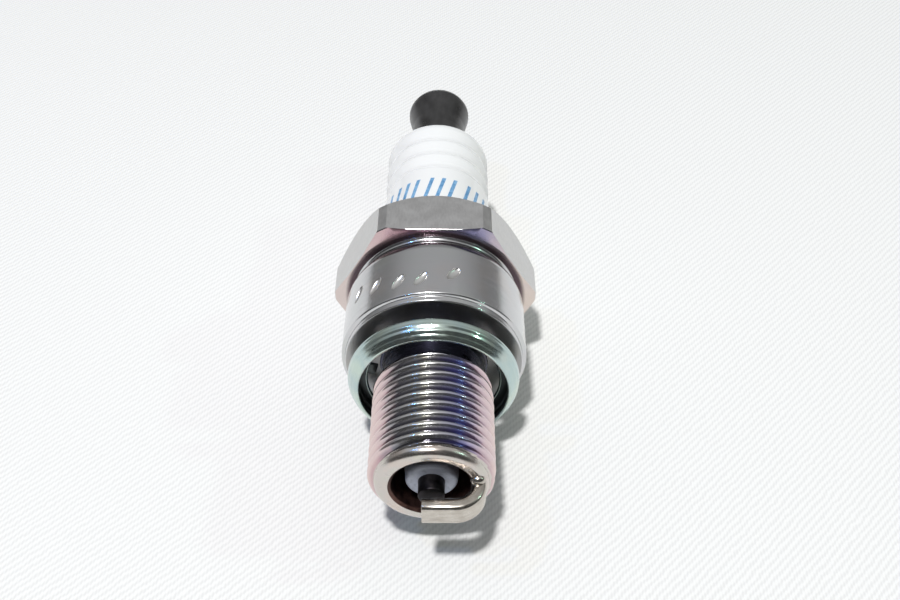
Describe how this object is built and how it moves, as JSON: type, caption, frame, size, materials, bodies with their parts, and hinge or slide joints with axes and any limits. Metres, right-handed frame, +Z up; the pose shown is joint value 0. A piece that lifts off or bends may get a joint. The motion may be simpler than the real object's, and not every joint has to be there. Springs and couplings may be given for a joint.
{
  "type": "spark plug",
  "caption": "Compact resistor spark plug: threaded steel shell with wrench hexagon, captive folded gasket, ribbed ceramic insulator and solid terminal.",
  "frame": {"origin": "centre of the gasket seat face on the thread axis", "axes": "+Y along the plug from the firing end to the terminal, +Z up with a hexagon flat on top, +X to the right seen from the firing end"},
  "size_m": [0.018, 0.0533, 0.016],
  "materials": {
    "plated_shell": "bright nickel plating with a faint iridescent passivation film",
    "nickel_alloy": "satin drawn nickel alloy",
    "gasket_steel": "bright plated sheet with a green iridescent film",
    "glazed_alumina": "glossy clear glaze over white alumina",
    "terminal_steel": "dark oxidised steel, satin",
    "copper": "drawn copper",
    "seal_glass": "dark conductive glass",
    "resistor_mix": "dark carbon and glass compound",
    "packing_steel": "bare steel wire and sheet",
    "talc": "compacted white powder",
    "mark_ink": "fired blue stamping ink"
  },
  "bodies": {
    "plug": {"metal_shell": "plated_shell", "ground_electrode": "nickel_alloy", "ground_weld": "nickel_alloy", "insulator": "glazed_alumina", "center_electrode": "nickel_alloy", "copper_core": "copper", "lower_glass_seal": "seal_glass", "resistor": "resistor_mix", "upper_glass_seal": "seal_glass", "terminal_stud": "terminal_steel", "sheet_packing": "packing_steel", "lower_packing_ring": "packing_steel", "talc_filling": "talc", "upper_packing_ring": "packing_steel"},
    "gasket_ring": {"gasket": "gasket_steel"}
  },
  "joints": [
    {"name": "gasket_slide", "type": "slide", "parent": "plug", "child": "gasket_ring", "axis": [0, 1, 0], "range_m": [-0.00125, 0.00152]}
  ]
}
